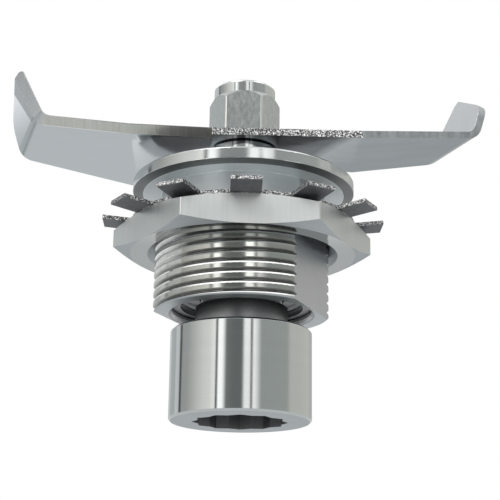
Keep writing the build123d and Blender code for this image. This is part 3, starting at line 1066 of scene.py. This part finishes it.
def make_blade():
    """The blade, with ground bevels that spread over the tips, and torn edges where it was punched."""
    piece = copy_of("blade", "ground_blade")
    top_mark = tip_point.lerp(tip_heel, tip_bevel_spread)
    low_mark = tip_bend + (tip_heel - tip_point).normalized() * tip_bevel_width
    across = (top_mark - low_mark).cross(tip_outside)
    for side in (1, -1):
        turn = Matrix.Diagonal((side, side, 1))
        select_faces(piece, lambda at, out: out.dot(turn @ tip_outside) > same_face)
        bpy.ops.mesh.bisect(plane_co=turn @ top_mark * mm, plane_no=turn @ across)
        done()
    finish_with(
        piece,
        blade_sheet,
        blade_top,
        tip_inside,
        blade_ground,
        tip_bevel,
        tip_ground,
        blade_torn,
        blade_cut_edge,
        tip_edge,
        blade_land,
        worn_edge_highlight,
    )

    def on_right(at, vector):
        """A place or a normal as it is on the wing on +X."""
        return vector if at.x > 0 else Vector((-vector.x, -vector.y, vector.z))

    def leading(at, out):
        """How far a face looks towards the leading side of its wing."""
        return on_right(at, out).y

    def outwards(at, out):
        """How far a face looks away from the hub."""
        return on_right(at, out).x

    def torn(at, out):
        """The punched edge of the hub and of each wing's trailing root."""
        along = at.x if out.y < 0 else -at.x
        return abs(out.y) > blade_sideways and -hub_half_length < along < wing_knee

    def ground(at, out):
        """The bevel under each wing's leading edge and outside its tip."""
        tilted = out.z < -bevel_tilt or outwards(at, out) > bevel_tilt
        return tilted and bevel_least < leading(at, out) < bevel_most

    def spread(at, out):
        """Where the bevel spreads over the outside of a tip."""
        beyond = (on_right(at, at) - top_mark).dot(across)
        return on_right(at, out).dot(tip_outside) > same_face and beyond > 0

    def inside(at, out):
        """The side of a tip that looks up and towards the hub."""
        return out.z > blade_upwards and outwards(at, out) < -tip_inside_tilt

    def rim(at, out):
        """The cut edge round a tip."""
        return at.z > tip_low_z and abs(outwards(at, out)) < tip_edge_tilt

    def bevel_edge(at, along, first, second):
        """The lower edge of a wing's bevel."""
        if first.z > second.z:
            first, second = second, first
        return first.z < -square_on and ground(at, second)

    paint(piece, blade_top, lambda at, out: out.z > blade_upwards)
    # The tip's inside, painted darker as shade
    paint(piece, tip_inside, inside)
    paint(piece, blade_cut_edge, lambda at, out: abs(out.y) > blade_sideways)
    paint(piece, tip_edge, rim)
    paint(piece, blade_land, lambda at, out: leading(at, out) > blade_sideways)
    paint(piece, blade_torn, torn)
    paint(piece, blade_ground, ground)
    paint(piece, tip_bevel, lambda at, out: ground(at, out) and outwards(at, out) > tip_bevel_tilt)
    paint(piece, tip_ground, spread)
    # The worn lower edge of each bevel, painted bright as a highlight
    wear_edges(piece, bevel_wear, worn_edge_highlight, bevel_edge)
    soften(piece, sheet_corner, square_corner, 1)
    smooth(piece, blade_crease)
    dress(piece, "rotor", "blade")


make_holder()
make_drive_socket()
make_blade_spacer()
make_cap_nut()
make_ring_nut()
make_tab_washer()
make_blade()

# Inner pieces that stay as they are in the solids
inner_finishes = {
    "bearing_outer_ring": bearing_ground,
    "bearing_inner_ring": bearing_ground,
    "bearing_balls": bearing_ground,
    "bearing_outer_spacer": bearing_ground,
    "bearing_inner_spacer": bearing_ground,
    "bearing_cage": pressed_sheet,
    "bearing_shields": pressed_sheet,
    # The seal's case, painted dark as shade like its seat
    "seal_case": seal_seat_shade,
    "retaining_ring": spring_dark,
    "seal_spring": spring_dark,
    "seal_lip": seal_black,
    "spindle": bright_turned,
}
for name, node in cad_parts.items():
    for ending, material in inner_finishes.items():
        if name.endswith(ending):
            node.data.materials.clear()
            node.data.materials.append(material)


# Floor, studio walls, lamps and camera

# The studio round the object: bearing in degrees from the camera's side towards +X, and brightness
studio_strips = [
    (-180, (0.78, 0.79, 0.80)),
    (-166, (0.64, 0.66, 0.67)),
    (-140, (0.74, 0.76, 0.77)),
    (-116, (0.74, 0.76, 0.77)),
    (-113, (0.08, 0.08, 0.08)),
    (-110, (0.08, 0.08, 0.08)),
    (-107, (0.44, 0.46, 0.46)),
    (-94, (0.46, 0.47, 0.46)),
    (-78, (0.66, 0.66, 0.64)),
    (-60, (0.90, 0.89, 0.86)),
    (-50, (0.96, 0.95, 0.91)),
    (-41, (1.25, 1.24, 1.20)),
    (-40, (0.12, 0.12, 0.12)),
    (-37, (0.15, 0.15, 0.15)),
    (-36, (1.6, 1.6, 1.6)),
    (-29, (1.5, 1.5, 1.5)),
    (-23, (0.24, 0.25, 0.25)),
    (-12, (0.19, 0.20, 0.20)),
    (2, (0.18, 0.19, 0.19)),
    (6, (1.25, 1.25, 1.25)),
    (14, (1.25, 1.25, 1.25)),
    (15.5, (0.15, 0.15, 0.15)),
    (18, (0.25, 0.25, 0.25)),
    (19, (1.4, 1.4, 1.4)),
    (24, (1.1, 1.1, 1.1)),
    (32, (0.42, 0.44, 0.44)),
    (78, (0.44, 0.46, 0.44)),
    (86, (0.66, 0.65, 0.62)),
    (135, (0.68, 0.67, 0.64)),
    (158, (0.46, 0.47, 0.46)),
    (180, (0.78, 0.79, 0.80)),
]

# Patches of the wall: bearings, heights in metres, share and brightness
wall_patches = [
    ((-27.0, 4.0), (0.215, 1.0), 0.22, (1.0, 1.0, 1.0)),
    ((-150.0, -84.0), (0.168, 0.235), 0.8, (1.25, 1.27, 1.3)),
    ((-36.5, -28.0), (0.168, 0.235), 0.8, (2.8, 2.8, 2.8)),
    ((4.5, 15.0), (0.168, 0.235), 0.8, (3.2, 3.2, 3.2)),
    ((86.0, 150.0), (0.18, 0.26), 0.5, (0.35, 0.35, 0.35)),
    ((6.0, 30.0), (0.235, 0.3), 0.8, (1.6, 1.6, 1.6)),
    ((-150.0, -128.0), (-0.1, 0.2), 0.6, (0.4, 0.42, 0.43)),
]
patch_fade = 0.03

# Wall and floor, in metres: above the strips hangs a white canopy
wall_radius = 0.6
wall_height = 0.7
wall_steps = 96
canopy_z = 0.4
canopy_fade = 0.03
canopy_light = (1.3, 1.3, 1.3, 1.0)
floor_size = 4.0
floor_drop = 0.05 * mm
paper_grain = 900.0
paper_dark = (0.80, 0.80, 0.80, 1.0)
paper_pale = (0.84, 0.84, 0.84, 1.0)

# What polished metal sees of the floor: the strips on the camera's side, and shades of grey behind,
# with a dark band between two bright ones close behind the object
front_floor = 0.045
front_floor_fade = 0.03
near_floor_light = (0.70, 0.715, 0.725, 1.0)
far_floor = 0.16
far_floor_fade = 0.1
far_floor_light = (0.40, 0.42, 0.43, 1.0)
band_start = 0.016
band_start_fade = 0.003
band_end = 0.08
band_end_fade = 0.03
bright_bearing = 160.0
bright_band_light = (1.2, 1.2, 1.2, 1.0)
dark_bearing = 170.0
dark_band_light = (0.19, 0.2, 0.2, 1.0)

# Where the floor that the camera sees goes over into the white behind, and what lights the object
white_floor = 0.15
white_floor_fade = 0.35
white_light = (1.0, 1.0, 1.0, 1.0)
world_light = (0.6, 0.6, 0.6, 1.0)
lamp_aim = (0, 0, 0.04)

# Camera: place in millimetres, turns in radians, focal length in pixels of a square picture
camera_place = (-0.5618, -256.3222, -40.0262)
camera_pitch = 0.2868
camera_yaw = 0.0082
camera_roll = 0.0135
focal_pixels = 1299.94
picture_pixels = 500.0
sensor_width = 36.0


def studio_light(finish, x, y):
    """The strips' colour by bearing, and the bearing."""
    around = x.calculate("ARCTAN2", x, y * -1.0)
    stops = [((bearing + 180.0) / 360.0, color + (1.0,)) for bearing, color in studio_strips]
    share = around / (2 * pi) + 0.5
    return finish.node("ShaderNodeValToRGB", {"stops": stops}, {"Fac": share}), around


def glow(finish, color):
    return finish.node("ShaderNodeEmission", {}, {"Color": color, "Strength": 1.0})


def ray(finish, kind):
    return finish.node("ShaderNodeLightPath", {}, {}, f"Is {kind} Ray")


def mixed(finish, share, first, second):
    return finish.node("ShaderNodeMixShader", {}, {0: share, 1: first, 2: second})


def add_floor():
    """A pale floor that can't be seen from below, and shows polished metal the studio's light."""
    bpy.ops.object.select_all(action="DESELECT")
    bpy.ops.mesh.primitive_plane_add(size=floor_size, location=(0, 0, 0))
    floor = bpy.context.object
    floor.name = "floor"
    floor.data.transform(Matrix.Translation((0, 0, -floor_drop)))
    material = bpy.data.materials.new("pale floor")
    finish = Finish(material)
    place = finish.place()
    x, y, z = finish.parts_of(place)
    radius = (x * x + y * y).root()
    strips, around = studio_light(finish, x, y)
    bearing = around.calculate("ABSOLUTE", around)

    paper = finish.noise(place, paper_grain, 2.0)
    paper_tone = finish.blend(paper, paper_dark, paper_pale)
    matt = finish.node("ShaderNodeBsdfDiffuse", {}, {"Color": paper_tone})
    away = ((radius - white_floor) / white_floor_fade).held()
    seen = mixed(finish, ray(finish, "Camera") * away, matt, glow(finish, white_light))

    front = ((y * -1.0 - front_floor) / front_floor_fade).held()
    far = ((y - far_floor) / far_floor_fade).held()
    outside = ((radius - band_start) / band_start_fade).held()
    near = outside * (1.0 - (radius - band_end) / band_end_fade).held()
    shine = finish.blend(far, near_floor_light, far_floor_light)
    shine = finish.blend((bearing > radians(bright_bearing)) * near, shine, bright_band_light)
    shine = finish.blend((bearing > radians(dark_bearing)) * near, shine, dark_band_light)
    shine = finish.blend(front, shine, strips)

    clear = finish.node("ShaderNodeBsdfTransparent", {}, {})
    below = finish.node("ShaderNodeNewGeometry", {}, {}, "Backfacing")
    above = mixed(finish, ray(finish, "Glossy"), seen, glow(finish, shine))
    sheet = mixed(finish, below, above, clear)
    finish.node("ShaderNodeOutputMaterial", {}, {"Surface": sheet})
    floor.data.materials.append(material)


def add_studio_walls():
    """A round wall of light and dark strips, which only polished metal sees."""
    bpy.ops.object.select_all(action="DESELECT")
    bpy.ops.mesh.primitive_cylinder_add(
        vertices=wall_steps,
        radius=wall_radius,
        depth=wall_height,
        location=(0, 0, 0),
        end_fill_type="NOTHING",
    )
    wall = bpy.context.object
    wall.name = "studio_walls"
    wall.data.transform(Matrix.Translation((0, 0, wall_height / 2)))
    material = bpy.data.materials.new("studio strips")
    finish = Finish(material)
    x, y, z = finish.parts_of(finish.place())
    strips, around = studio_light(finish, x, y)
    for (left, right), (bottom, top), share, color in wall_patches:
        inside = (around > radians(left)) * (around < radians(right))
        rise = ((z - bottom) / patch_fade).held() * ((top - z) / patch_fade).held()
        strips = finish.blend(inside * rise * share, strips, color + (1.0,))
    canopy = ((z - canopy_z) / canopy_fade).held()
    strips = finish.blend(canopy, strips, canopy_light)
    finish.node("ShaderNodeOutputMaterial", {}, {"Surface": glow(finish, strips)})
    wall.data.materials.append(material)
    wall.visible_camera = False
    wall.visible_diffuse = False
    wall.visible_shadow = False
    wall.visible_transmission = False


def add_world():
    """A plain grey world to light by, which the camera and clear or polished surfaces see as white."""
    world = bpy.data.worlds.new("white studio")
    scene.world = world
    finish = Finish(world)
    shown = (ray(finish, "Camera") + ray(finish, "Glossy") + ray(finish, "Transmission")).held()
    grey = finish.node("ShaderNodeBackground", {}, {"Color": world_light, "Strength": 1.0})
    white = finish.node("ShaderNodeBackground", {}, {"Color": white_light, "Strength": 1.0})
    finish.node("ShaderNodeOutputWorld", {}, {"Surface": mixed(finish, shown, grey, white)})


def add_lamp(name, place, size, power):
    """A round soft lamp that points at the object."""
    bpy.ops.object.light_add(type="AREA", location=place)
    lamp = bpy.context.object
    lamp.name = name
    lamp.data.shape = "DISK"
    lamp.data.size = size
    lamp.data.energy = power
    aim = Vector(lamp_aim) - Vector(place)
    lamp.rotation_euler = aim.to_track_quat("-Z", "Y").to_euler()


def add_camera():
    """The camera stands a little below the object and looks up at it."""
    level_reach = cos(camera_pitch)
    forward = Vector(
        (sin(camera_yaw) * level_reach, cos(camera_yaw) * level_reach, sin(camera_pitch))
    )
    right = forward.cross(Vector((0, 0, 1))).normalized()
    up = right.cross(forward)
    level = right * cos(camera_roll) + up * sin(camera_roll)
    upright = up * cos(camera_roll) - right * sin(camera_roll)
    bpy.ops.object.camera_add()
    camera = bpy.context.object
    turn = Matrix((level, upright, -forward)).transposed().to_4x4()
    camera.matrix_world = Matrix.Translation(Vector(camera_place) * mm) @ turn
    camera.data.sensor_width = sensor_width
    camera.data.lens = sensor_width * focal_pixels / picture_pixels
    camera.data.clip_start = 0.01
    scene.camera = camera


add_floor()
add_studio_walls()
add_world()
add_lamp("key_lamp", place=(-0.5, -0.6, 0.9), size=0.7, power=9.0)
add_lamp("fill_lamp", place=(0.7, -0.3, 0.7), size=0.7, power=5.0)
add_camera()
scene.view_settings.view_transform = "Standard"
